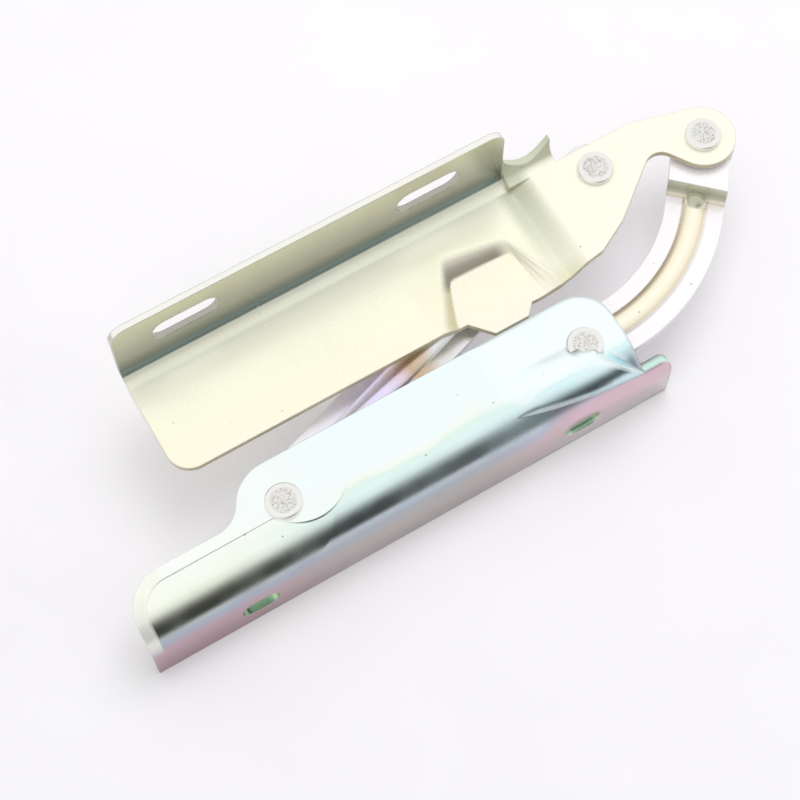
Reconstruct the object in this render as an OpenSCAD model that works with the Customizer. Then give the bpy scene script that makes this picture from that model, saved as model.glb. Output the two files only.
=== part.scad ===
// Car bonnet hinge: two pressed steel brackets joined by two links and four pivot rivets.
// The pivots stand along Z. The origin is the middle of the body bracket's two bolt slots,
// on the outer face of its flange. Plan sizes are measured from pivot A.

/* [Pivots] */
// Second body pivot, along the bracket from the first
pivot_b_x = 124; // [120:0.5:128]
// Second body pivot, across the bracket from the first
pivot_b_y = -3; // [-4:0.5:-2]
// First bonnet pivot, along the bracket
pivot_c_x = 165; // [163:0.5:167]
// First bonnet pivot, across the bracket
pivot_c_y = 54.5; // [53:0.5:56]
// Second bonnet pivot, along the bracket
pivot_d_x = 208; // [206:0.5:210]
// Second bonnet pivot, across the bracket
pivot_d_y = 46; // [45:0.5:47]

/* [Rivets and bushes] */
// Radius of each rivet's shank
shank_r = 4; // [3.5:0.1:4.5]
// Radius of the flat head that shows on top
head_r = 6.8; // [6.4:0.1:7]
// Height of that head
head_h = 2; // [1.5:0.1:2.2]
// Radius of the formed tail underneath
tail_r = 6; // [5.5:0.1:6.5]
// Height of the formed tail
tail_h = 2; // [1.5:0.1:2.5]
// Wall of the bush round each shank
bush_wall = 1.5; // [1:0.1:2]
// Radial running clearance of a bush on its shank
run_fit = 0.05; // [0.02:0.01:0.08]
// Gap between a link and the washers above and below it
end_float = 0.1; // [0.05:0.05:0.2]
// Height of the spacer between the body bracket and its link
spacer_h = 3.9; // [3.5:0.1:4.5]
// Height of the spacer between the bonnet bracket and its link
bonnet_spacer_h = 1.4; // [1.2:0.1:1.8]
// Radius of each spacer
spacer_r = 8.5; // [8:0.1:9]
// Radius of the washer under each link
washer_r = 9; // [8:0.1:10]
// Thickness of that washer
washer_h = 1; // [0.8:0.1:1.5]
// Extra radius of the long link's hole at the pivot that is left open
open_pivot_play = 3.4; // [3.4:0.1:3.8]

/* [Body bracket] */
// Sheet thickness
body_t = 3; // [2.5:0.1:3.2]
// Outer flange face, out from pivot A
flange_out = 22.5; // [22.5:0.1:24]
// Plate's top face, up from the bolt slots
plate_up = 21; // [20:0.5:24]
// Flange's lower edge, down from the bolt slots
flange_down = 13; // [11:0.5:16]
// Outer radius of the bend
bend_r = 19; // [18:0.5:19.5]
// Drop of the bend below its rim at the left end
crease_step = 1.2; // [0.8:0.1:1.5]
// Rim's edge along that drop, out from pivot A
crease_out = 3.4; // [3:0.1:3.8]
// Slot centres along the bracket
body_slot_pitch = 136; // [130:1:140]
// Middle of the slots, along from pivot A
body_slot_mid = 45; // [43:0.5:47]
// Overall length of a slot
body_slot_l = 15; // [12:0.5:18]
// Width of a slot
body_slot_w = 9; // [8.4:0.1:10]
// Left end, back from pivot A
body_left = 65.5; // [63:0.5:70]
// Right end of the plate, past pivot B
body_right_past_b = 15.5; // [14:0.5:18]
// Tab on the flange, past the plate's right end
tab_l = 12; // [10:0.5:15]
// Plate's far edge, in from pivot A
plate_in = 16.8; // [16:0.1:18]
// Far edge of the narrow strip beyond pivot A
strip_in = 1.3; // [1:0.1:2]
// Corner radius at the left end
body_corner_r = 16; // [14:0.5:17]
// Corner radius at pivot B
lobe_b_r = 13; // [12:0.5:14]
// Fillet between the strip and the lobe at pivot A
lobe_a_fillet = 12; // [10:0.5:14]
// Radius of the flat pad that carries pivot A out over the bend
pad_a_r = 18; // [17:0.5:19]
// Height of the hood beside pivot B above the plate
hood_h = 4.8; // [4.4:0.1:5]
// Length over which the hood rises to pivot B
hood_l = 38; // [34:1:42]

/* [Bonnet bracket] */
// Sheet thickness
bonnet_t = 2.5; // [2:0.1:2.7]
// Inner flange face, in from pivot A
bonnet_flange_in = 70; // [69:0.5:71]
// Lower edge of the plate, in from pivot A
bonnet_edge_in = 26; // [25:0.5:28]
// Left end, back from pivot A
bonnet_left = 27.5; // [25:0.5:30]
// Right end of the tall flange, along from pivot A
bonnet_flange_end = 133; // [131:0.5:135]
// Top of the flange above the plate
bonnet_flange_h = 34.5; // [31:0.5:37]
// Inner radius of the bend
bonnet_bend_r = 6; // [4:0.5:8]
// Slot centres along the bracket
bonnet_slot_pitch = 100; // [96:1:104]
// Middle of the slots, along from pivot A
bonnet_slot_mid = 51; // [49:0.5:53]
// Overall length of a slot
bonnet_slot_l = 27; // [24:0.5:30]
// Width of a slot
bonnet_slot_w = 11; // [9:0.1:12]
// Slot centres above the plate
bonnet_slot_up = 20.5; // [19:0.5:22]
// Height of the joggle up to the arm
arm_step = 3; // [2.5:0.1:3.5]
// Depth of the recessed pad
pad_depth = 3; // [2.5:0.1:3]
// Radius of the lobe at pivot D
lobe_d_r = 12.7; // [12:0.1:13]
// Gap at the closed stop between the pad and the body bracket
stop_gap = 1; // [0.6:0.1:1.5]

/* [Links] */
// Thickness of both links
link_t = 3; // [2.5:0.1:3.5]
// Width of the long link
long_link_w = 22; // [20:0.5:23]
// How far the long link's middle bows off the line of its pivots
long_link_bow = 3.8; // [3:0.1:4.5]
// Radius of its end at pivot A
long_end_a_r = 12; // [11:0.1:12.5]
// Radius of its end at pivot C
long_end_c_r = 13.5; // [13:0.1:14]
// Width of the curved link
curved_link_w = 22.4; // [20:0.2:23]
// Radius of its end at pivot B
curved_end_b_r = 9.5; // [9:0.1:9.8]
// Radius of its end at pivot D
curved_end_d_r = 13; // [12:0.1:13.5]
// Radius of its centre line
curved_r = 72; // [68:1:76]
// Rise of each link's joggle up to the bonnet bracket
link_step = 8.5; // [8:0.1:9]
// Length of that joggle along the link
joggle_run = 2.5; // [2:0.1:3]
// Height of the stiffening bead along each link
bead_h = 2; // [1:0.1:2.2]
// Width of that bead
bead_w = 10; // [8:0.5:11]

/* [Hidden] */
$fn = 96;
eps = 0.01;
far = 400;

// Plan places, measured from pivot A
pivot_a = [0, 0];
pivot_b = [pivot_b_x, pivot_b_y];
pivot_c = [pivot_c_x, pivot_c_y];
pivot_d = [pivot_d_x, pivot_d_y];

// Heights, measured from the body plate's top face
body_under = -body_t;
low_link_top = body_under - spacer_h - end_float;
high_link_top = low_link_top + link_step;
arm_under = high_link_top + bonnet_spacer_h + end_float;
arm_top = arm_under + bonnet_t;
main_top = arm_top - arm_step;
main_under = main_top - bonnet_t;
pad_top = main_top - pad_depth;
flange_bottom = -plate_up - flange_down;

bush_in_r = shank_r + run_fit;
bush_out_r = bush_in_r + bush_wall;
open_hole_r = bush_out_r + open_pivot_play;
body_right = pivot_b_x + body_right_past_b;
bend_y = bend_r - flange_out;
bend_z = -bend_r;
bend_in_r = bend_r - body_t;

// Moves a shape from pivot A's plan and the plate's top face to the bolt slots' frame
module placed() {
    translate([-body_slot_mid, flange_out, plate_up]) children();
}

// Draws a section, given as across and up, along the bracket from one place to another
module along(from, to) {
    translate([from, 0, 0]) rotate([90, 0, 90]) linear_extrude(to - from) children();
}

// Draws a section, given as along and up, across the bracket
module across(from, to) {
    translate([0, to, 0]) rotate([90, 0, 0]) linear_extrude(to - from) children();
}

// A rectangle by two corners
module box2(a, b) {
    translate(a) square(b - a);
}

// A slot of a given overall length, along x
module slot2(length, width) {
    box2([-(length - width) / 2, -width / 2], [(length - width) / 2, width / 2]);
    for (side = [-1, 1]) translate([side * (length - width) / 2, 0]) circle(d = width);
}

// A rectangle with one corner rounded, the corner at its upper left
module corner_box2(left, top, right, bottom, r) {
    box2([left + r, bottom], [right, top]);
    box2([left, bottom], [left + r, top - r]);
    translate([left + r, top - r]) circle(r);
}

// Body bracket

// The fillet where the strip's edge runs into the lobe at pivot A
module lobe_a_fillet2() {
    up = strip_in + lobe_a_fillet;
    back = sqrt(pow(plate_in + lobe_a_fillet, 2) - up * up);
    share = plate_in / (plate_in + lobe_a_fillet);
    difference() {
        polygon([[-back, up], [-back, 0], [0, 0], [-back * share, up * share]]);
        translate([-back, up]) circle(lobe_a_fillet);
    }
}

// Outline of the whole bracket, seen from above
module body_plan2() {
    low = -flange_out - bend_r;
    corner_box2(-body_left, strip_in, 0, low, body_corner_r);
    circle(plate_in);
    lobe_a_fillet2();
    box2([0, low], [body_right - lobe_b_r, plate_in]);
    box2([0, low], [body_right, plate_in - lobe_b_r]);
    translate([body_right - lobe_b_r, plate_in - lobe_b_r]) circle(lobe_b_r);
}

// Outline inside which the bend lies lower than the plate and its rim
module bend_plan2() {
    rim = strip_in + crease_out;
    difference() {
        corner_box2(rim - body_left, -crease_out, body_right + far, -far, body_corner_r - rim);
        pad_a2();
    }
}

// The flat pad under pivot A
module pad_a2() {
    translate([pad_a_r / 2, plate_in - 10]) circle(pad_a_r);
}

// A quarter of a ring round the bend's centre, on the flange's side
module bend_ring2(outer, inner) {
    translate([bend_y, bend_z]) intersection() {
        difference() {
            circle(outer);
            circle(inner);
        }
        box2([-far, 0], [0, far]);
    }
}

// Section of the pressed sheet, before the left end of the bend is set down
module body_section2() {
    box2([bend_y, body_under], [far, 0]);
    bend_ring2(bend_r, bend_in_r);
    box2([-flange_out, flange_bottom], [body_t - flange_out, bend_z]);
}

// The sheet that is taken off where the bend drops towards its left end
module bend_set_down() {
    start = pad_a_r / 2 + 17;
    drop_angle = atan2(crease_step, start + body_left);
    difference() {
        along(-body_left - 1, start) box2([-far, bend_z], [-crease_out, far]);
        translate([start, bend_y, bend_z]) rotate([0, -90 - drop_angle, 0])
            translate([0, 0, -5]) cylinder(r = bend_r + 0.15, h = far);
    }
}

// Hood beside the head of rivet B: the bend grows tighter and taller, and is cut off slantwise past the rivet
module hood() {
    sunk = 0.5;
    start_r = bend_r - sunk;
    b_r = 12;
    low = [pivot_b_x - hood_l, start_r - flange_out + sunk, -start_r - sunk];
    high = [pivot_b_x, b_r - flange_out + 0.1, hood_h - b_r];
    run = high - low;
    share = 1 + (body_right_past_b + 4) / hood_l;
    difference() {
        translate(low) rotate([0, 90 - atan2(run[2], norm([run[0], run[1]])), atan2(run[1], run[0])])
            cylinder(r1 = start_r, r2 = start_r + (b_r - start_r) * share, h = norm(run) * share);
        translate([pivot_b_x - 3, pivot_b_y + 3, hood_h - 1.3]) rotate([0, 47, 26])
            translate([-far / 2, -far / 2, 0]) cube(far);
    }
}

// The space under the pressed sheet
module body_hollow2() {
    box2([bend_y, flange_bottom - 1], [far, body_under]);
    translate([bend_y, bend_z]) circle(bend_in_r);
    box2([body_t - flange_out, flange_bottom - 1], [bend_y, bend_z]);
}

module body_slots() {
    for (side = [-1, 1])
        translate([body_slot_mid + side * body_slot_pitch / 2, body_t - flange_out + 1, -plate_up])
            rotate([90, 0, 0]) linear_extrude(body_t + bend_r) slot2(body_slot_l, body_slot_w);
}

module flange_tab() {
    tab_top = bend_z / 2;
    r = 4;
    intersection() {
        along(body_right - 1, body_right + tab_l) body_section2();
        across(-far, bend_y) difference() {
            box2([body_right - 1, flange_bottom], [body_right + tab_l, tab_top]);
            translate([body_right + tab_l - r, tab_top - r]) difference() {
                square(r + 1);
                circle(r);
            }
        }
    }
}

module body_bracket() {
    color("lightcyan") placed() difference() {
        union() {
            difference() {
                intersection() {
                    along(-body_left, body_right) body_section2();
                    translate([0, 0, -far / 2]) linear_extrude(far) body_plan2();
                }
                intersection() {
                    bend_set_down();
                    translate([0, 0, -far / 2]) linear_extrude(far) bend_plan2();
                }
            }
            translate([0, 0, body_under - 2]) linear_extrude(body_t + 2) intersection() {
                pad_a2();
                box2([-far, -far], [far, 0]);
            }
            intersection() {
                hood();
                along(pivot_b_x - hood_l, body_right) box2([-flange_out, body_under], [far, far]);
            }
            flange_tab();
        }
        intersection() {
            along(-far, body_right + 1) body_hollow2();
            translate([0, 0, -far]) linear_extrude(far) box2([-far, -far], [far, far]);
        }
        for (p = [pivot_a, pivot_b]) translate(p) {
            translate([0, 0, -far / 2]) cylinder(r = shank_r, h = far);
            cylinder(r = head_r + 0.4, h = head_h + 0.4);
            translate([0, 0, body_under - spacer_h]) cylinder(r = spacer_r + 0.4, h = spacer_h);
        }
        body_slots();
    }
}

// Bonnet bracket

// Outline of the plate and arm, seen from above
module bonnet_plan2() {
    top = bonnet_flange_in + bonnet_t;
    r = 9;
    stop_y = plate_in + stop_gap;
    edge = [162, 31];
    notch_r = 6.5;
    notch = pivot_d - (lobe_d_r + notch_r + 1.6) * [0.985, 0.173];
    to_notch = notch - edge;
    edge_turn = atan2(to_notch[1], to_notch[0]) + asin(notch_r / norm(to_notch));
    edge_l = sqrt(pow(norm(to_notch), 2) - notch_r * notch_r);
    lobe_turn = 10 + acos((lobe_d_r + notch_r) / (lobe_d_r + notch_r + 1.6));
    lobe_way = [cos(lobe_turn), sin(lobe_turn)];
    box2([-bonnet_left, bonnet_edge_in + r], [pivot_c_x - 20, top]);
    box2([-bonnet_left + r, bonnet_edge_in], [pivot_c_x - 20, top]);
    translate([-bonnet_left + r, bonnet_edge_in + r]) circle(r);
    difference() {
        polygon([[91, bonnet_edge_in + 1], [99, stop_y], [113, stop_y], [117, 22], [130, 21.5],
            [149, 24.2], edge, edge + edge_l * [cos(edge_turn), sin(edge_turn)],
            notch + notch_r * lobe_way, pivot_d - lobe_d_r * lobe_way, pivot_d,
            pivot_d + lobe_d_r * [0.29, 0.957], [158, top], [120, top]]);
        translate(notch) circle(notch_r);
    }
    translate(pivot_d) circle(lobe_d_r);
}

// Section of the plate with its turned-up flange, for a plate whose top is at a given height
module bonnet_section2(plate_top, flange_top) {
    inner = bonnet_flange_in - bonnet_bend_r;
    box2([-far, plate_top - bonnet_t], [inner, plate_top]);
    translate([inner, plate_top + bonnet_bend_r]) intersection() {
        difference() {
            circle(bonnet_bend_r + bonnet_t);
            circle(bonnet_bend_r);
        }
        box2([0, -far], [far, 0]);
    }
    box2([bonnet_flange_in, plate_top + bonnet_bend_r], [bonnet_flange_in + bonnet_t, flange_top]);
}

// The plate's joggle up to the arm, as a section along the bracket
module joggle_section2() {
    low_x = bonnet_flange_end + 1;
    high_x = low_x + 8;
    polygon([[low_x - 6, main_under], [low_x - 6, main_top], [low_x, main_top], [high_x, arm_top],
        [far, arm_top], [far, arm_under], [high_x + 1, arm_under], [low_x + 1, main_under]]);
}

// Plan corners of the recessed pad's floor and of its upper edge; the right side is a gentle ramp
pad_floor = [[97, 40.5], [119, 40], [118, 24], [113, 15], [99, 15], [92, 26]];
pad_edge = [[98, 51], [118, 47], [128, 24], [128, 14], [92, 14], [84.5, 28]];

// Round corners of the pad's outline, a given part of the way from its floor to its upper edge
module pad_outline(part, grow) {
    for (i = [0 : len(pad_floor) - 1])
        translate(pad_floor[i] + part * (pad_edge[i] - pad_floor[i])) cylinder(r = 3 + grow, h = eps, $fn = 16);
}

// The pad's space between two parts of the way, with the wall curving out of the floor and into the plate
module pad_solid(low, high, from, to, grow) {
    hull() {
        for (part = [from, to])
            translate([0, 0, low + (high - low - eps) * part * part * (3 - 2 * part)]) pad_outline(part, grow);
    }
}

// Round cut that ends the flange and leaves a low rim beside the arm
module relief_notch() {
    r = 11;
    low = arm_top + 2.5;
    mid = bonnet_flange_end + r;
    across(bonnet_flange_in - bonnet_bend_r, bonnet_flange_in + far) {
        translate([mid, low + r]) circle(r);
        box2([bonnet_flange_end, low + r], [far, far]);
    }
}

module bonnet_slots() {
    for (side = [-1, 1])
        translate([bonnet_slot_mid + side * bonnet_slot_pitch / 2,
                bonnet_flange_in + bonnet_t + 1, main_top + bonnet_slot_up])
            rotate([90, 0, 0]) linear_extrude(bonnet_t + 2) slot2(bonnet_slot_l, bonnet_slot_w);
}

// Outline of the flange, seen along Y, with its top corners rounded
module flange_face2() {
    r = 6;
    top = main_top + bonnet_flange_h;
    box2([-bonnet_left, -far], [far, top - r]);
    box2([-bonnet_left + r, -far], [bonnet_flange_end - r, top]);
    for (x = [-bonnet_left + r, bonnet_flange_end - r]) translate([x, top - r]) circle(r);
}

module bonnet_bracket() {
    top = main_top + bonnet_flange_h;
    rim_end = bonnet_flange_end + 21;
    color("palegoldenrod") placed() difference() {
        union() {
            intersection() {
                union() {
                    along(-bonnet_left, bonnet_flange_end + 2) bonnet_section2(main_top, top);
                    along(bonnet_flange_end, rim_end) intersection() {
                        bonnet_section2(arm_top, top);
                        box2([bonnet_flange_in - bonnet_bend_r, -far], [far, far]);
                    }
                    across(-far, bonnet_flange_in - bonnet_bend_r + 1) joggle_section2();
                    pad_solid(pad_top - bonnet_t, main_under + eps, 0, 1, 1.5);
                }
                translate([0, 0, -far / 2]) linear_extrude(far) bonnet_plan2();
                across(-far, far) flange_face2();
            }
        }
        for (step = [0 : 3]) pad_solid(pad_top, main_top + eps, step / 4, (step + 1) / 4, 0);
        relief_notch();
        bonnet_slots();
        for (p = [pivot_c, pivot_d]) translate(concat(p, -far / 2)) cylinder(r = shank_r, h = far);
    }
}

// Links

// A pressed bead on top of a link, from one place to another along x
module bead(from, to, top) {
    r = (bead_w * bead_w / 4 + bead_h * bead_h) / (2 * bead_h);
    translate([from, 0, top + bead_h - r]) rotate([0, 90, 0]) cylinder(r = r, h = to - from);
    for (x = [from, to]) translate([x, 0, top + bead_h - r]) sphere(r);
}

// Section of a link along its length, with its far end stepped up; the joggle ends at a given place
module stepped_link2(joggle_end) {
    low_under = low_link_top - link_t;
    high_under = high_link_top - link_t;
    under_end = joggle_end + link_t / 2;
    polygon([[-far, low_under], [-far, low_link_top], [joggle_end - joggle_run, low_link_top],
        [joggle_end, high_link_top], [far, high_link_top], [far, high_under],
        [under_end, high_under], [under_end - joggle_run, low_under]]);
}

// Outline of the long link, along x from pivot A
module long_plan2(length) {
    half = long_link_w / 2;
    circle(long_end_a_r);
    translate([half, long_link_bow]) circle(half);
    box2([half, long_link_bow - half], [length - long_end_c_r, long_link_bow + half]);
    box2([0, -half + long_link_bow], [half, half - 1]);
    translate([length - long_end_c_r, 0]) box2([0, -half + long_link_bow], [long_end_c_r, half]);
    translate([length, 0]) circle(long_end_c_r);
}

module long_link() {
    length = norm(pivot_c - pivot_a);
    angle = atan2(pivot_c_y, pivot_c_x);
    color("plum") placed() rotate([0, 0, angle]) difference() {
        union() {
            intersection() {
                across(-far, far) stepped_link2(length - long_end_c_r - 1);
                translate([0, 0, -far / 2]) linear_extrude(far) long_plan2(length);
            }
            intersection() {
                translate([0, long_link_bow, 0]) bead(28, length - 40, low_link_top);
                translate([-far / 2, -far / 2, low_link_top - 1]) cube(far);
            }
        }
        translate([0, 0, -far / 2]) cylinder(r = bush_out_r, h = far);
        translate([length, 0, -far / 2]) cylinder(r = open_hole_r, h = far);
        translate([0, long_link_bow, -link_t - 0.5]) intersection() {
            bead(28, length - 40, low_link_top);
            translate([-far / 2, -far / 2, low_link_top - 1]) cube(far);
        }
    }
}

// The curved link's centre line: straight from pivot B, round an arc, then straight to pivot D
// Place of the arc's centre, so that both straights are tangent to it
curved_turn = 53;
curved_end = [cos(curved_turn), sin(curved_turn)];
curved_line_y = 0;
curved_lead = ((pivot_d_y - curved_line_y) - curved_r * (1 - curved_end[0])) / curved_end[1];
curved_arc_x = pivot_d_x - curved_lead * curved_end[0] - curved_r * curved_end[1];

// Turn at which the bead starts, clear of the spacer at pivot B
bead_start_x = pivot_b_x + spacer_r + bead_w / 2 + 1;
bead_start = asin(max(0, bead_start_x - curved_arc_x) / curved_r);

// Band round the arc, on the turn between the two straights
module curved_arc2(outer, inner) {
    intersection() {
        difference() {
            circle(outer);
            circle(inner);
        }
        polygon([[0, 0], [0, -far], [far * curved_end[1], -far], [far * curved_end[1], -far * curved_end[0]]]);
    }
}

// Section of the bead, standing a little into the link
module bead2() {
    r = (bead_w * bead_w / 4 + bead_h * bead_h) / (2 * bead_h);
    intersection() {
        translate([0, bead_h - r]) circle(r);
        box2([-r, -1], [r, bead_h + 1]);
    }
}

// Round end of the bead
module bead_end() {
    rotate_extrude() intersection() {
        bead2();
        box2([0, -far], [far, far]);
    }
}

// Rounded gusset where the bead runs into the joggle
module bead_gusset() {
    rotate_extrude() intersection() {
        circle(bead_w * 0.45);
        box2([0, -1], [far, far]);
    }
}

// Outline of the curved link, seen from above
module curved_plan2() {
    half = curved_link_w / 2;
    translate(pivot_b) circle(curved_end_b_r);
    translate([pivot_b_x + 6, curved_line_y]) circle(half);
    box2([pivot_b_x + 6, curved_line_y - half], [curved_arc_x, curved_line_y + half]);
    translate([curved_arc_x, curved_line_y + curved_r]) curved_arc2(curved_r + half, curved_r - half);
    translate(pivot_d) rotate(curved_turn) {
        box2([-curved_lead - eps, -half], [0, half]);
        circle(curved_end_d_r);
    }
}

module curved_link() {
    joggle_end = -19;
    joggle_turn = 46;
    color("lavenderblush") placed() difference() {
        union() {
            intersection() {
                translate(pivot_d) rotate(joggle_turn) across(-far, far) stepped_link2(joggle_end);
                translate([0, 0, -far / 2]) linear_extrude(far) curved_plan2();
            }
            translate([curved_arc_x, curved_line_y + curved_r, low_link_top]) rotate([0, 0, -90]) {
                rotate([0, 0, bead_start]) rotate_extrude(angle = curved_turn - bead_start)
                    translate([curved_r, 0]) bead2();
                rotate([0, 0, bead_start]) translate([curved_r, 0, 0]) bead_end();
                rotate([0, 0, curved_turn]) translate([curved_r, 0, 0]) bead_gusset();
            }
        }
        for (p = [pivot_b, pivot_d]) translate(concat(p, -far / 2)) cylinder(r = bush_out_r, h = far);
    }
}

// Pivot sets: each rivet holds a bracket, a spacer, a bushed link and a washer

module pivot_rivet(at, bracket_top, link_top) {
    washer_under = link_top - link_t - end_float - washer_h;
    edge = 0.4;
    color("silver") placed() translate(concat(at, 0)) {
        translate([0, 0, bracket_top]) cylinder(r = head_r, h = head_h - edge);
        translate([0, 0, bracket_top + head_h - edge]) cylinder(r1 = head_r, r2 = head_r - edge, h = edge);
        translate([0, 0, washer_under]) cylinder(r = shank_r, h = bracket_top - washer_under);
        translate([0, 0, washer_under - tail_h + edge]) cylinder(r = tail_r, h = tail_h - edge);
        translate([0, 0, washer_under - tail_h]) cylinder(r1 = tail_r - edge, r2 = tail_r, h = edge);
    }
}

module ring(at, bottom, height, outer, inner) {
    placed() translate(concat(at, bottom)) difference() {
        cylinder(r = outer, h = height);
        translate([0, 0, -1]) cylinder(r = inner, h = height + 2);
    }
}

module pivot_spacer(at, bracket_under, height) {
    color("gainsboro") ring(at, bracket_under - height, height, spacer_r, shank_r);
}

module pivot_bush(at, link_top, inner) {
    color("darkgoldenrod") ring(at, link_top - link_t, link_t, bush_out_r, inner);
}

module pivot_washer(at, link_top) {
    color("gainsboro") ring(at, link_top - link_t - end_float - washer_h, washer_h, washer_r, shank_r);
}

body_bracket();
bonnet_bracket();
long_link();
curved_link();
pivot_rivet(pivot_a, 0, low_link_top);  // rivet_a
pivot_rivet(pivot_b, 0, low_link_top);  // rivet_b
pivot_rivet(pivot_c, arm_top, high_link_top);  // rivet_c
pivot_rivet(pivot_d, arm_top, high_link_top);  // rivet_d
pivot_spacer(pivot_a, body_under, spacer_h);  // spacer_a
pivot_spacer(pivot_b, body_under, spacer_h);  // spacer_b
pivot_spacer(pivot_c, arm_under, bonnet_spacer_h);  // spacer_c
pivot_spacer(pivot_d, arm_under, bonnet_spacer_h);  // spacer_d
pivot_bush(pivot_a, low_link_top, bush_in_r);  // bush_a
pivot_bush(pivot_b, low_link_top, bush_in_r);  // bush_b
pivot_bush(pivot_c, high_link_top, shank_r);  // bush_c
pivot_bush(pivot_d, high_link_top, bush_in_r);  // bush_d
pivot_washer(pivot_a, low_link_top);  // washer_a
pivot_washer(pivot_b, low_link_top);  // washer_b
pivot_washer(pivot_c, high_link_top);  // washer_c
pivot_washer(pivot_d, high_link_top);  // washer_d
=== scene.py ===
"""Looks for a car bonnet hinge: plated brackets and links on riveted pivots, on a pale floor."""

import math

import bpy
from mathutils import Matrix, Vector


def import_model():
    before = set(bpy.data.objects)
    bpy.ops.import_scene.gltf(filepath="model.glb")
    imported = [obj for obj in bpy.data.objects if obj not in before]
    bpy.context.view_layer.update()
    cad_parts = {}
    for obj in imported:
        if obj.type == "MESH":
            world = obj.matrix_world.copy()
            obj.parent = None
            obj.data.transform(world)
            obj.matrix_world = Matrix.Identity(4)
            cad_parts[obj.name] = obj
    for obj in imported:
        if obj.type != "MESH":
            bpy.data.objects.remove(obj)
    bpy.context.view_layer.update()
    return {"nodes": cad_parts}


MM = 0.001

# Places in the part's frame, in millimetres
PIVOTS = {
    "a": (-45.0, 22.5),
    "b": (79.0, 19.5),
    "c": (120.0, 77.0),
    "d": (163.0, 68.5),
}
FLOOR_Z = -13.2
FLOOR_SIZE = 6000.0
BODY_HEIGHT = (-13.0, 21.0)
BODY_CORNER = (-94.5, 7.8)
PAD_HEIGHT = (20.5, 23.5)
BONNET_DEPTH = (40.0, 90.0)
BONNET_FLANGE_HEIGHT = (24.0, 58.0)
CURVED_LINK_HEIGHT = (10.0, 24.0)
LONG_LINK_LENGTH = (-30.0, 45.0)

# Detail of the plated sheet, in millimetres
# The peel is coarser than the real one, so that it shows
SHINE_PATCH = 18.0
PIT_SPACING = 9.0
PEEL_GRIT = 0.9
PEEL_DEPTH = 0.1
EDGE_ROUND = 0.35
FACE_ROUND = 0.8

# Detail of a rivet's head, in millimetres. Its torn middle ends between two radii
RIVET_TORN = (4.4, 6.0)
RIVET_GRAIN = 0.8
RIVET_RINGS = 14.0
RIVET_DEPTH = 0.4

# The camera stands above the body bracket's side, turned so that the hinge rises to the right
CAMERA_AT = (-126.0, -194.8, 650.6)
CAMERA_AIM = (10.05, 35.25, 21.0)
CAMERA_TURN = 30.6
CAMERA_LENS = 85.5

# A soft lamp high over the bonnet's side
LAMP_AT = (300.0, 260.0, 1000.0)
LAMP_AIM = (40.0, 40.0, 0.0)
LAMP_SIZE = 650.0
LAMP_POWER = 4.2

# How bright the room lights things, how bright it looks, and the floor's share of even white
ROOM_LIGHT = 0.8
ROOM_SEEN = 1.02
FLOOR_WHITE = 0.22


def linear(hex_colour):
    """Turns an sRGB hex colour into Blender's linear colour."""
    channels = []
    for start in (1, 3, 5):
        value = int(hex_colour[start:start + 2], 16) / 255
        channels.append(value / 12.92 if value <= 0.04045 else ((value + 0.055) / 1.055) ** 2.4)
    return (*channels, 1.0)


def add_node(tree, kind, inputs=None, stops=None, **settings):
    """Adds a node with its settings, and sets or links its inputs.

    An input is a value, a hex colour, a socket, or a node, which gives its first output.
    Stops are a ramp's places and colours.
    """
    node = tree.nodes.new("ShaderNode" + kind)
    for name, value in settings.items():
        setattr(node, name, value)
    for socket, value in (inputs or {}).items():
        if isinstance(value, bpy.types.Node):
            value = value.outputs[0]
        if isinstance(value, bpy.types.NodeSocket):
            tree.links.new(value, node.inputs[socket])
        else:
            node.inputs[socket].default_value = linear(value) if isinstance(value, str) else value
    if stops:
        elements = node.color_ramp.elements
        while len(elements) < len(stops):
            elements.new(1.0)
        for element, (place, colour) in zip(elements, stops):
            element.position = place
            element.color = linear(colour) if isinstance(colour, str) else (colour, colour, colour, 1.0)
    return node


def new_material(name):
    """Gives an empty node material, its tree and the place on the piece's surface."""
    material = bpy.data.materials.new(name)
    material.use_nodes = True
    tree = material.node_tree
    tree.nodes.clear()
    return material, tree, add_node(tree, "TexCoord").outputs["Object"]


def face_directions(tree):
    """Gives the X, Y and Z of the way that a face looks, evened out near its edges."""
    even = add_node(tree, "Bevel", {"Radius": FACE_ROUND * MM}, samples=8)
    own = add_node(tree, "VectorTransform", {"Vector": even},
                   vector_type="NORMAL", convert_from="WORLD", convert_to="OBJECT")
    return add_node(tree, "SeparateXYZ", {"Vector": own}).outputs


def span(value, low, high, soft):
    """Gives the two limits of a stretch in millimetres, with a soft border past each."""
    return (value, (low - soft) * MM, low * MM), (value, (high + soft) * MM, high * MM)


def zone(tree, *limits):
    """Marks a zone of the surface, 1 inside and 0 outside, with soft borders.

    Each limit is a value, the place where it starts to count and the place where it is full.
    """
    share = None
    for value, start, full in limits:
        rise = add_node(tree, "MapRange", {"Value": value, "From Min": start, "From Max": full},
                        interpolation_type="SMOOTHSTEP")
        if share is None:
            share = rise
        else:
            share = add_node(tree, "Math", {0: share, 1: rise}, operation="MULTIPLY")
    return share


def tint_along(tree, value, low, high, stops, drift=None, sway=0.0):
    """Tints a surface along one direction, in millimetres. A noise may make the bands sway."""
    level = add_node(tree, "MapRange", {
        "Value": value, "From Min": low * MM, "From Max": high * MM})
    if drift:
        shift = add_node(tree, "Math", {0: drift, 1: 2 * sway, 2: -sway}, operation="MULTIPLY_ADD")
        level = add_node(tree, "Math", {0: level, 1: shift}, operation="ADD")
    return add_node(tree, "ValToRGB", {"Fac": level}, stops=tuple(
        ((place - low) / (high - low), colour) for place, colour in stops))


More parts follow.
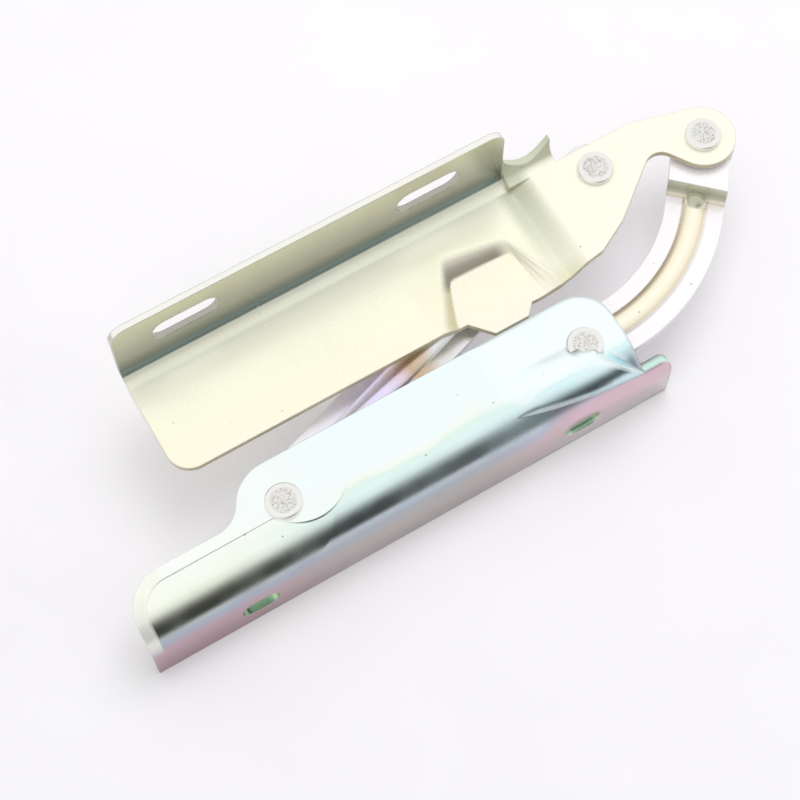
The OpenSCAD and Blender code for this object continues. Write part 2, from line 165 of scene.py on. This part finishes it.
def layered(tree, colour, *layers):
    """Lays tints over a colour, each by its share of the surface."""
    for share, tint in layers:
        # Sockets 6 and 7 are the two colours of a mix, and output 2 is the mixed one
        mix = add_node(tree, "Mix", {"Factor": share, 6: colour, 7: tint}, data_type="RGBA")
        colour = mix.outputs[2]
    return colour


def plated_surface(tree, colour, place, roughness, edge=EDGE_ROUND * MM, metallic=1.0):
    """Finishes a plated sheet: lightened edges, orange peel, a few pits and a wandering shine."""
    cloud = add_node(tree, "TexNoise", {
        "Vector": place, "Scale": 1 / (SHINE_PATCH * MM), "Detail": 4.0})
    rough = add_node(tree, "MapRange", {
        "Value": cloud, "From Min": 0.3, "From Max": 0.7,
        "To Min": roughness - 0.05, "To Max": roughness + 0.06})

    # Pits are the small middles of some wide cells
    cells = add_node(tree, "TexVoronoi", {"Vector": place, "Scale": 1 / (PIT_SPACING * MM)})
    pit = zone(tree, (cells, 0.055, 0.03))
    pit_stain = add_node(tree, "Math", {0: pit, 1: 0.55}, operation="MULTIPLY")

    # An edge shows where the rounded face turns away from the true one
    soft_edge = add_node(tree, "Bevel", {"Radius": edge}, samples=6)
    true_face = add_node(tree, "NewGeometry").outputs["True Normal"]
    turned = add_node(tree, "VectorMath", {0: soft_edge, 1: true_face}, operation="DOT_PRODUCT")
    on_edge = zone(tree, (turned.outputs["Value"], 0.97, 0.75))
    # Edges are made paler, in patches that follow the cloud
    lightened_edge = add_node(tree, "Math", {0: on_edge, 1: cloud}, operation="MULTIPLY")

    peel = add_node(tree, "TexNoise", {
        "Vector": place, "Scale": 1 / (PEEL_GRIT * MM), "Detail": 3.0})
    relief = add_node(tree, "Math", {0: pit, 1: -1.0, 2: peel}, operation="MULTIPLY_ADD")
    bump = add_node(tree, "Bump", {
        "Height": relief, "Strength": 0.06, "Distance": PEEL_DEPTH * MM, "Normal": soft_edge})
    shader = add_node(tree, "BsdfPrincipled", {
        "Base Color": layered(tree, colour, (pit_stain, "#6F6C60"), (lightened_edge, "#F3F1EA")),
        "Metallic": metallic, "Roughness": rough, "Normal": bump})
    add_node(tree, "OutputMaterial", {"Surface": shader})


def blue_zinc():
    """Zinc plate with a blue passivate: icy on the flat, with coloured bands round the bend."""
    material, tree, place = new_material("blue_passivated_zinc")
    at = add_node(tree, "SeparateXYZ", {"Vector": place}).outputs
    facing = face_directions(tree)
    drift = add_node(tree, "TexNoise", {"Vector": place, "Scale": 1 / (45 * MM), "Detail": 3.0})

    # Below the hood beside pivot B, the bands lie 5 mm higher on the bend
    below_hood = zone(tree, (at["X"], 48 * MM, 62 * MM), (at["Y"], 14 * MM, 10 * MM))
    level = add_node(tree, "Math", {0: below_hood, 1: -5 * MM, 2: at["Z"]},
                     operation="MULTIPLY_ADD")

    # The bands are mint over grey in the middle, icy over pink on the right, ivory on the left
    middle = tint_along(tree, level, *BODY_HEIGHT, (
        (-13.0, "#B4ADAD"), (-2.0, "#B9B0AE"), (6.0, "#B5B2AE"), (10.0, "#AEB4BE"),
        (14.5, "#D2E2E4"), (17.5, "#E5F9F8"), (19.6, "#E2F6F4"), (20.2, "#E2F5EC"),
        (20.6, "#F5FBF3"), (20.9, "#F2FCFD")), drift, sway=0.04)
    icy = tint_along(tree, level, *BODY_HEIGHT, (
        (-13.0, "#D0C8C8"), (-2.0, "#D6C0C4"), (6.0, "#DABEC8"), (10.0, "#C4C6D8"),
        (14.5, "#CDE4EA"), (17.5, "#DCF6FA"), (20.2, "#E2F8FA"), (20.9, "#F0FCFD")),
        drift, sway=0.04)
    ivory = tint_along(tree, level, *BODY_HEIGHT, (
        (-13.0, "#A88C92"), (-2.0, "#B6969E"), (6.0, "#BEA4AE"), (10.0, "#AEB8C6"),
        (14.5, "#DCE2D0"), (17.5, "#F2F7E6"), (20.2, "#F8FBF0"), (20.9, "#F9FCF8")),
        drift, sway=0.04)
    right = zone(tree, (at["X"], 15 * MM, 75 * MM))
    left = zone(tree, (at["X"], -15 * MM, -85 * MM))

    # Cut faces low on the flange, such as the slots' walls, are green and straw
    cuts = tint_along(tree, at["Z"], *BODY_HEIGHT, (
        (-13.0, "#9E9A96"), (-5.5, "#9CCBB2"), (0.0, "#D3DCA4"), (5.0, "#8FBFA6"),
        (8.0, "#C9EEDF"), (12.0, "#CDEFE2")))
    outward = add_node(tree, "Math", {0: facing["Y"]}, operation="ABSOLUTE")
    cut = zone(tree, (outward, 0.5, 0.4), (at["Z"], 12.6 * MM, 11.8 * MM))

    # The round corner at the left end has a pale rim
    corner_x, corner_y = BODY_CORNER
    from_corner = add_node(tree, "Mapping", {
        "Vector": place, "Location": (corner_x * MM, -corner_y * MM, 0.0),
        "Scale": (-1.0, 1.0, 0.0)})
    past_corner = add_node(tree, "VectorMath", {0: from_corner, 1: (0.0, 0.0, 0.0)},
                           operation="MAXIMUM")
    away = add_node(tree, "VectorMath", {0: past_corner}, operation="LENGTH").outputs["Value"]
    rim = zone(tree, (away, 11.3 * MM, 11.9 * MM), (at["Z"], 4 * MM, 12 * MM),
               (at["X"], -94 * MM, -96 * MM))
    painted = layered(tree, middle, (right, icy), (left, ivory), (cut, cuts), (rim, "#F4F6EA"))

    # The rim and the hood's shoulder are dull, and the hood's crease is softened
    hood = zone(tree, (at["X"], 40 * MM, 52 * MM))
    shoulder = zone(tree, (at["X"], 40 * MM, 52 * MM), (at["Y"], 10 * MM, 15 * MM))
    dull = add_node(tree, "Math", {0: rim, 1: shoulder}, operation="MAXIMUM")
    metallic = add_node(tree, "MapRange", {"Value": dull, "To Min": 1.0, "To Max": 0.25})
    edge = add_node(tree, "MapRange", {
        "Value": hood, "To Min": EDGE_ROUND * MM, "To Max": 2.95 * MM})
    plated_surface(tree, painted, place, roughness=0.22, edge=edge, metallic=metallic)
    return material


def yellow_zinc():
    """Zinc plate with a yellow passivate: cream on the flat, olive up the flange, brown edges."""
    material, tree, place = new_material("yellow_passivated_zinc")
    at = add_node(tree, "SeparateXYZ", {"Vector": place}).outputs
    facing = face_directions(tree)
    drift = add_node(tree, "TexNoise", {
        "Vector": place, "Scale": 1 / (55 * MM), "Detail": 3.0, "Distortion": 0.6})
    cream = tint_along(tree, at["Y"], *BONNET_DEPTH, (
        (40.0, "#FBF5E6"), (52.0, "#FCF8E2"), (66.0, "#FCFCE2"), (84.0, "#FEFFEC")),
        drift, sway=0.12)
    arm = zone(tree, (at["X"], 86 * MM, 98 * MM))

    # The recessed pad's far wall gets a painted soft shade, and its left wall a painted olive shade
    shade = tint_along(tree, at["Z"], *PAD_HEIGHT, (
        (20.55, "#FBF7E4"), (20.8, "#8C8578"), (21.8, "#A39E90"), (22.9, "#D8D5C4"),
        (23.4, "#F9F9E0")))
    olive = tint_along(tree, at["Z"], *PAD_HEIGHT, (
        (20.55, "#FBF7E4"), (20.9, "#CFC7A2"), (22.0, "#DAD4B2"), (23.3, "#FAF8E0")))
    upward = (facing["Z"], 0.2, 0.5)
    far_wall = zone(tree, *span(at["Y"], 66, 78, 4), *span(at["X"], 44, 70, 8), upward)
    left_wall = zone(tree, *span(at["Y"], 40, 70, 4), *span(at["X"], 36, 50, 3), upward)

    # The joggle up to the arm gets a painted olive shade, deepest beside the bend
    joggle_shade = tint_along(tree, at["Y"], *BONNET_DEPTH, (
        (42.0, "#E0DEB8"), (52.0, "#ECECD8"), (68.0, "#DCDFC8"), (84.0, "#CFD4BC")),
        drift, sway=0.05)
    joggle = zone(tree, *span(at["X"], 86.5, 92.5, 6), upward)

    # Cut edges are brown. The pad's steep walls are no cut edges
    pad = zone(tree, *span(at["X"], 38, 100, 6), *span(at["Y"], 51, 80, 3))
    off_pad = add_node(tree, "Math", {0: 1.0, 1: pad}, operation="SUBTRACT")
    level = add_node(tree, "Math", {0: facing["Z"]}, operation="ABSOLUTE")
    upright = zone(tree, (level, 0.45, 0.3))
    cut = add_node(tree, "Math", {0: upright, 1: off_pad}, operation="MULTIPLY")

    # The bend gets a painted blue-grey reflection under the olive flange, whose top edge gets a painted
    # white highlight
    flange = tint_along(tree, at["Z"], *BONNET_FLANGE_HEIGHT, (
        (25.8, "#FEFFEC"), (26.5, "#92A2A4"), (28.8, "#8A9698"), (31.5, "#989A92"),
        (36.0, "#ACABA2"), (46.0, "#BDBBB0"), (58.0, "#D3D2C0")), drift, sway=0.01)
    top_edge_highlight = zone(tree, (facing["Z"], 0.5, 0.8), (at["Z"], 50 * MM, 52 * MM))
    past_bend = (at["Y"], 86.6 * MM, 87.6 * MM)
    before_notch = (at["X"], 88.5 * MM, 87.5 * MM)
    past_notch = (at["X"], 87.5 * MM, 88.5 * MM)
    bent = zone(tree, past_bend, before_notch)
    steep = zone(tree, past_bend, before_notch, (at["Z"], 25.7 * MM, 26.5 * MM))
    tab = zone(tree, (at["Z"], 26.8 * MM, 28.2 * MM), past_notch)

    # The tab's top edge gets the same painted white highlight
    painted = layered(
        tree, cream, (arm, "#F9F6E6"), (left_wall, olive), (far_wall, shade), (joggle, joggle_shade),
        (cut, "#CBBE9A"), (bent, layered(tree, flange, (top_edge_highlight, "#F6F6EE"))),
        (tab, layered(tree, "#CDD0B8", (top_edge_highlight, "#E4E4DC"))))

    # The flange shines, and so does the plate away from it
    open_plate = zone(tree, (facing["Z"], 0.97, 0.995), (at["X"], 86 * MM, 80 * MM),
                      (at["Y"], 86 * MM, 62 * MM))
    shine = add_node(tree, "Math", {0: open_plate, 1: 0.53, 2: 0.15}, operation="MULTIPLY_ADD")
    metallic = add_node(tree, "Math", {0: steep, 1: 0.85, 2: shine}, operation="MULTIPLY_ADD")
    edge = add_node(tree, "MapRange", {
        "Value": pad, "To Min": 0.8 * MM, "To Max": 3.0 * MM})
    plated_surface(tree, painted, place, roughness=0.24, edge=edge, metallic=metallic)
    return material


def pink_zinc():
    """Zinc plate with a thin pink passivate: nearly white flats, a gold bead, a painted olive shade on
    the joggle.
    """
    material, tree, place = new_material("pink_passivated_zinc")
    at = add_node(tree, "SeparateXYZ", {"Vector": place}).outputs
    facing = face_directions(tree)
    drift = add_node(tree, "TexNoise", {"Vector": place, "Scale": 1 / (30 * MM), "Detail": 3.0})
    # From 16.8 to 22 mm up, the joggle gets a painted olive shade
    tints = tint_along(tree, at["Z"], *CURVED_LINK_HEIGHT, (
        (13.9, "#FCFAFF"), (14.1, "#F8F3F2"), (14.7, "#F0E8DA"), (15.1, "#E8DCC0"),
        (15.5, "#F8EFD2"), (16.1, "#FCF7E4"), (16.8, "#CDCEB8"), (19.0, "#AEB094"),
        (22.0, "#D0D2BC"), (22.45, "#FCFAFF")))

    # The bead's inner side gets a painted brown shade
    bead_shade = zone(tree, (facing["Y"], 0.25, 0.6), *span(at["Z"], 14.4, 15.5, 0.3))
    blush = add_node(tree, "Math", {0: drift, 1: 0.08}, operation="MULTIPLY")
    painted = layered(tree, tints, (bead_shade, "#A8987C"), (blush, "#F3E4F3"))
    plated_surface(tree, painted, place, roughness=0.28, metallic=0.4)
    return material


def purple_zinc():
    """Zinc plate with a thick purple passivate: lilac, with bronze streaks where the film ran."""
    material, tree, place = new_material("purple_passivated_zinc")
    at = add_node(tree, "SeparateXYZ", {"Vector": place}).outputs
    streaks = add_node(tree, "Mapping", {
        "Vector": place, "Rotation": (0.0, 0.0, -0.32), "Scale": (0.35, 1.0, 1.0)})
    drift = add_node(tree, "TexNoise", {
        "Vector": streaks, "Scale": 1 / (16 * MM), "Detail": 3.0, "Distortion": 0.5})
    painted = tint_along(tree, at["X"], *LONG_LINK_LENGTH, (
        (-28.0, "#F4F3F6"), (-14.0, "#F2F0FE"), (0.0, "#E8E4FF"), (10.0, "#EAE0FE"),
        (16.0, "#E6D2DA"), (21.0, "#D2B69C"), (26.0, "#D8C4AE"), (31.0, "#E8E8E6"),
        (40.0, "#F0F0F2")), drift, sway=0.12)
    plated_surface(tree, painted, place, roughness=0.26)
    return material


def clear_zinc():
    """Zinc plate with a clear passivate, plain and a little dull."""
    material, tree, place = new_material("clear_passivated_zinc")
    drift = add_node(tree, "TexNoise", {"Vector": place, "Scale": 1 / (8 * MM), "Detail": 4.0})
    tint = add_node(tree, "ValToRGB", {"Fac": drift}, stops=((0.3, "#CFCFCB"), (0.7, "#E2E0DE")))
    plated_surface(tree, tint, place, roughness=0.3)
    return material


def rivet_steel(pivot):
    """Plated rivet steel, its head spun down by a tool: a bright rim round a torn middle."""
    material, tree, place = new_material("formed_rivet_steel_" + pivot)
    x, y = PIVOTS[pivot]
    from_pivot = add_node(tree, "Mapping", {
        "Vector": place, "Location": (-x * MM, -y * MM, 0.0), "Scale": (1.0, 1.0, 0.0)})
    radius = add_node(tree, "VectorMath", {0: from_pivot}, operation="LENGTH").outputs["Value"]
    torn_from, torn_to = RIVET_TORN
    torn = add_node(tree, "MapRange", {
        "Value": radius, "From Min": torn_from * MM, "From Max": torn_to * MM,
        "To Min": 1.0, "To Max": 0.1}, interpolation_type="SMOOTHSTEP")
    grain = add_node(tree, "TexNoise", {
        "Vector": place, "Scale": 1 / (RIVET_GRAIN * MM), "Detail": 5.0, "Roughness": 0.7})
    rings = add_node(tree, "TexWave", {
        "Vector": from_pivot, "Scale": 1 / (RIVET_RINGS * MM), "Distortion": 3.0, "Detail": 3.0},
        wave_type="RINGS", rings_direction="Z")
    relief = add_node(tree, "Math", {0: rings.outputs["Fac"], 1: 0.4, 2: grain},
                      operation="MULTIPLY_ADD")
    height = add_node(tree, "Math", {0: relief, 1: torn}, operation="MULTIPLY")
    speck = add_node(tree, "Math", {0: grain, 1: torn}, operation="MULTIPLY")
    tint = add_node(tree, "ValToRGB", {"Fac": speck}, stops=(
        (0.00, "#F4F3EF"), (0.46, "#EFEEEA"), (0.58, "#D0CEC9"), (0.70, "#9A9892")))
    soft_edge = add_node(tree, "Bevel", {"Radius": EDGE_ROUND * MM}, samples=4)
    bump = add_node(tree, "Bump", {
        "Height": height, "Strength": 0.4, "Distance": RIVET_DEPTH * MM, "Normal": soft_edge})
    shader = add_node(tree, "BsdfPrincipled", {
        "Base Color": tint, "Metallic": 1.0, "Roughness": 0.38, "Normal": bump})
    add_node(tree, "OutputMaterial", {"Surface": shader})
    return material


def bearing_bronze():
    """Plain bearing bronze, turned smooth and a little dull."""
    material, tree, place = new_material("bearing_bronze")
    stain = add_node(tree, "TexNoise", {"Vector": place, "Scale": 1 / (4 * MM), "Detail": 4.0})
    tint = add_node(tree, "ValToRGB", {"Fac": stain}, stops=(
        (0.35, "#8E7240"), (0.65, "#B6965C")))
    plated_surface(tree, tint, place, roughness=0.34)
    return material


def rays_that_see(tree):
    """Is 1 for what the camera and the metal see, and 0 for the light that falls on things."""
    path = add_node(tree, "LightPath").outputs
    return add_node(tree, "Math", {0: path["Is Camera Ray"], 1: path["Is Glossy Ray"]},
                    operation="MAXIMUM")


def floor_paper():
    """Pale paper, faintly mottled. A share of it is seen as even white, so shadows stay light."""
    material, tree, place = new_material("pale_paper")
    mottle = add_node(tree, "TexNoise", {"Vector": place, "Scale": 1 / (60 * MM), "Detail": 5.0})
    tint = add_node(tree, "ValToRGB", {"Fac": mottle}, stops=(
        (0.3, "#F6F4F7"), (0.7, "#FAF8FB")))
    paper = add_node(tree, "BsdfPrincipled", {"Base Color": tint, "Roughness": 0.9})
    white = add_node(tree, "Emission", {"Color": "#FBF9FC", "Strength": 1.0})
    share = add_node(tree, "Math", {0: rays_that_see(tree), 1: FLOOR_WHITE}, operation="MULTIPLY")
    mix = add_node(tree, "MixShader", {0: share, 1: paper, 2: white})
    add_node(tree, "OutputMaterial", {"Surface": mix})
    return material


def make_floor():
    """Lays the floor under the body bracket's flange."""
    bpy.ops.object.select_all(action="DESELECT")
    bpy.ops.mesh.primitive_plane_add(size=FLOOR_SIZE * MM, location=(0.0, 0.0, FLOOR_Z * MM))
    floor = bpy.context.object
    floor.name = "floor"
    floor.data.materials.append(floor_paper())


def make_world():
    """A pale room with a dark opening on the camera's side, which the bends show as a dark band."""
    world = bpy.data.worlds.new("room")
    bpy.context.scene.world = world
    world.use_nodes = True
    tree = world.node_tree
    tree.nodes.clear()
    way = add_node(tree, "TexCoord").outputs["Generated"]
    towards = add_node(tree, "SeparateXYZ", {"Vector": way}).outputs
    side = add_node(tree, "Math", {0: towards["Y"], 1: -0.5, 2: 0.5}, operation="MULTIPLY_ADD")
    tone = add_node(tree, "ValToRGB", {"Fac": side}, stops=(
        (0.00, 0.90), (0.30, 1.00), (0.74, 1.00), (0.83, 0.80), (0.89, 0.35), (0.94, 0.06),
        (1.00, 0.02)))

    # The opening ends at a pale wall on either hand
    right = add_node(tree, "MapRange", {
        "Value": towards["X"], "From Min": 0.18, "From Max": 0.55, "To Max": 0.9})
    left = add_node(tree, "MapRange", {
        "Value": towards["X"], "From Min": -0.25, "From Max": -0.5, "To Max": 0.9})
    walls = add_node(tree, "Math", {0: right, 1: left}, operation="MAXIMUM")
    opening = add_node(tree, "Math", {0: tone, 1: walls}, operation="MAXIMUM")
    strength = add_node(tree, "MapRange", {
        "Value": rays_that_see(tree), "To Min": ROOM_LIGHT, "To Max": ROOM_SEEN})
    room = add_node(tree, "Background", {"Color": opening, "Strength": strength})
    add_node(tree, "OutputWorld", {"Surface": room})


def make_lamp():
    """Hangs one large soft lamp, which the metal doesn't mirror."""
    bpy.ops.object.select_all(action="DESELECT")
    bpy.ops.object.light_add(type="AREA", location=Vector(LAMP_AT) * MM)
    lamp = bpy.context.object
    lamp.name = "window"
    lamp.data.shape = "SQUARE"
    lamp.data.size = LAMP_SIZE * MM
    lamp.data.energy = LAMP_POWER
    lamp.visible_glossy = False
    way = (Vector(LAMP_AIM) - Vector(LAMP_AT)).normalized()
    lamp.rotation_euler = way.to_track_quat("-Z", "Y").to_euler()


def make_camera():
    """Stands the camera where the photograph was taken from."""
    at = Vector(CAMERA_AT)
    ahead = (Vector(CAMERA_AIM) - at).normalized()
    turn = math.radians(CAMERA_TURN)
    right = Vector((math.cos(turn), -math.sin(turn), 0.0))
    up = right.cross(ahead)
    data = bpy.data.cameras.new("camera")
    data.sensor_width = 36.0
    data.lens = CAMERA_LENS
    data.clip_start = 0.01
    camera = bpy.data.objects.new("camera", data)
    bpy.context.scene.collection.objects.link(camera)
    turned = Matrix((right, up, -ahead)).transposed().to_4x4()
    camera.matrix_world = Matrix.Translation(at * MM) @ turned
    bpy.context.scene.camera = camera


def dress_hinge(nodes):
    """Gives every piece its finish."""
    plain = clear_zinc()
    bronze = bearing_bronze()
    finishes = {
        "body_bracket": blue_zinc(),
        "bonnet_bracket": yellow_zinc(),
        "long_link": purple_zinc(),
        "curved_link": pink_zinc(),
    }
    for pivot in PIVOTS:
        finishes["rivet_" + pivot] = rivet_steel(pivot)
        finishes["spacer_" + pivot] = plain
        finishes["bush_" + pivot] = bronze
        finishes["washer_" + pivot] = plain
    for name, finish in finishes.items():
        nodes[name].data.materials.clear()
        nodes[name].data.materials.append(finish)


def main():
    """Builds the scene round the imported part."""
    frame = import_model()
    bpy.context.scene.view_settings.view_transform = "Standard"
    make_camera()
    make_world()
    make_lamp()
    make_floor()
    dress_hinge(frame["nodes"])


main()
